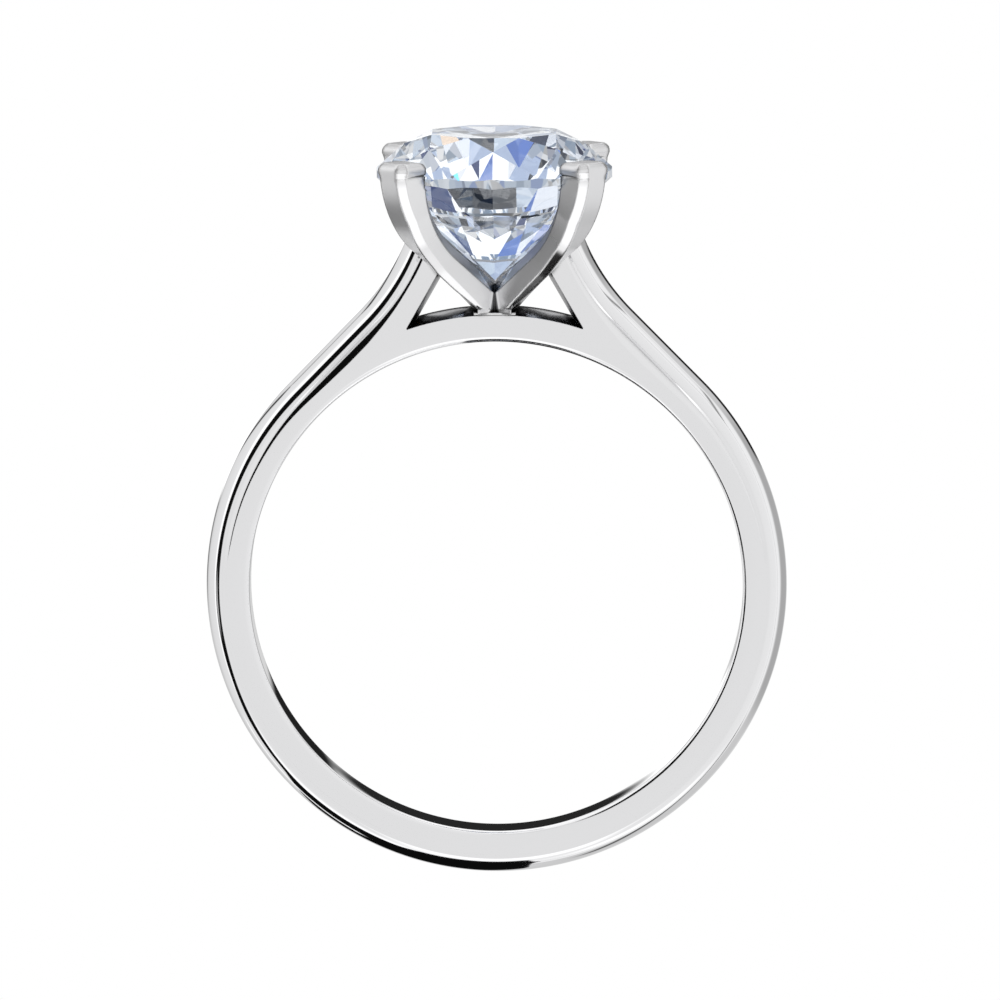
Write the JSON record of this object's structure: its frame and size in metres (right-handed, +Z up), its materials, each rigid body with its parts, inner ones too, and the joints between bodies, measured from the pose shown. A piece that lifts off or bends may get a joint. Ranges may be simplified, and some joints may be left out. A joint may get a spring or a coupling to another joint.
{
  "type": "solitaire engagement ring",
  "caption": "Solitaire ring with a round brilliant held by chamfered V-set claws over an open bridge, on a plain band with upswept shoulders, lying on its side.",
  "frame": {"origin": "centre of the bounding box, on the surface that the ring lies on", "axes": "+Z up from the surface, +Y from the band towards the stone, +X across the finger hole"},
  "size_m": [0.0198, 0.0256, 0.008],
  "materials": {
    "white_gold": "high polish",
    "diamond": "clear, faceted"
  },
  "bodies": {
    "root": {"mounting": "white_gold", "stone": "diamond"}
  },
  "joints": []
}
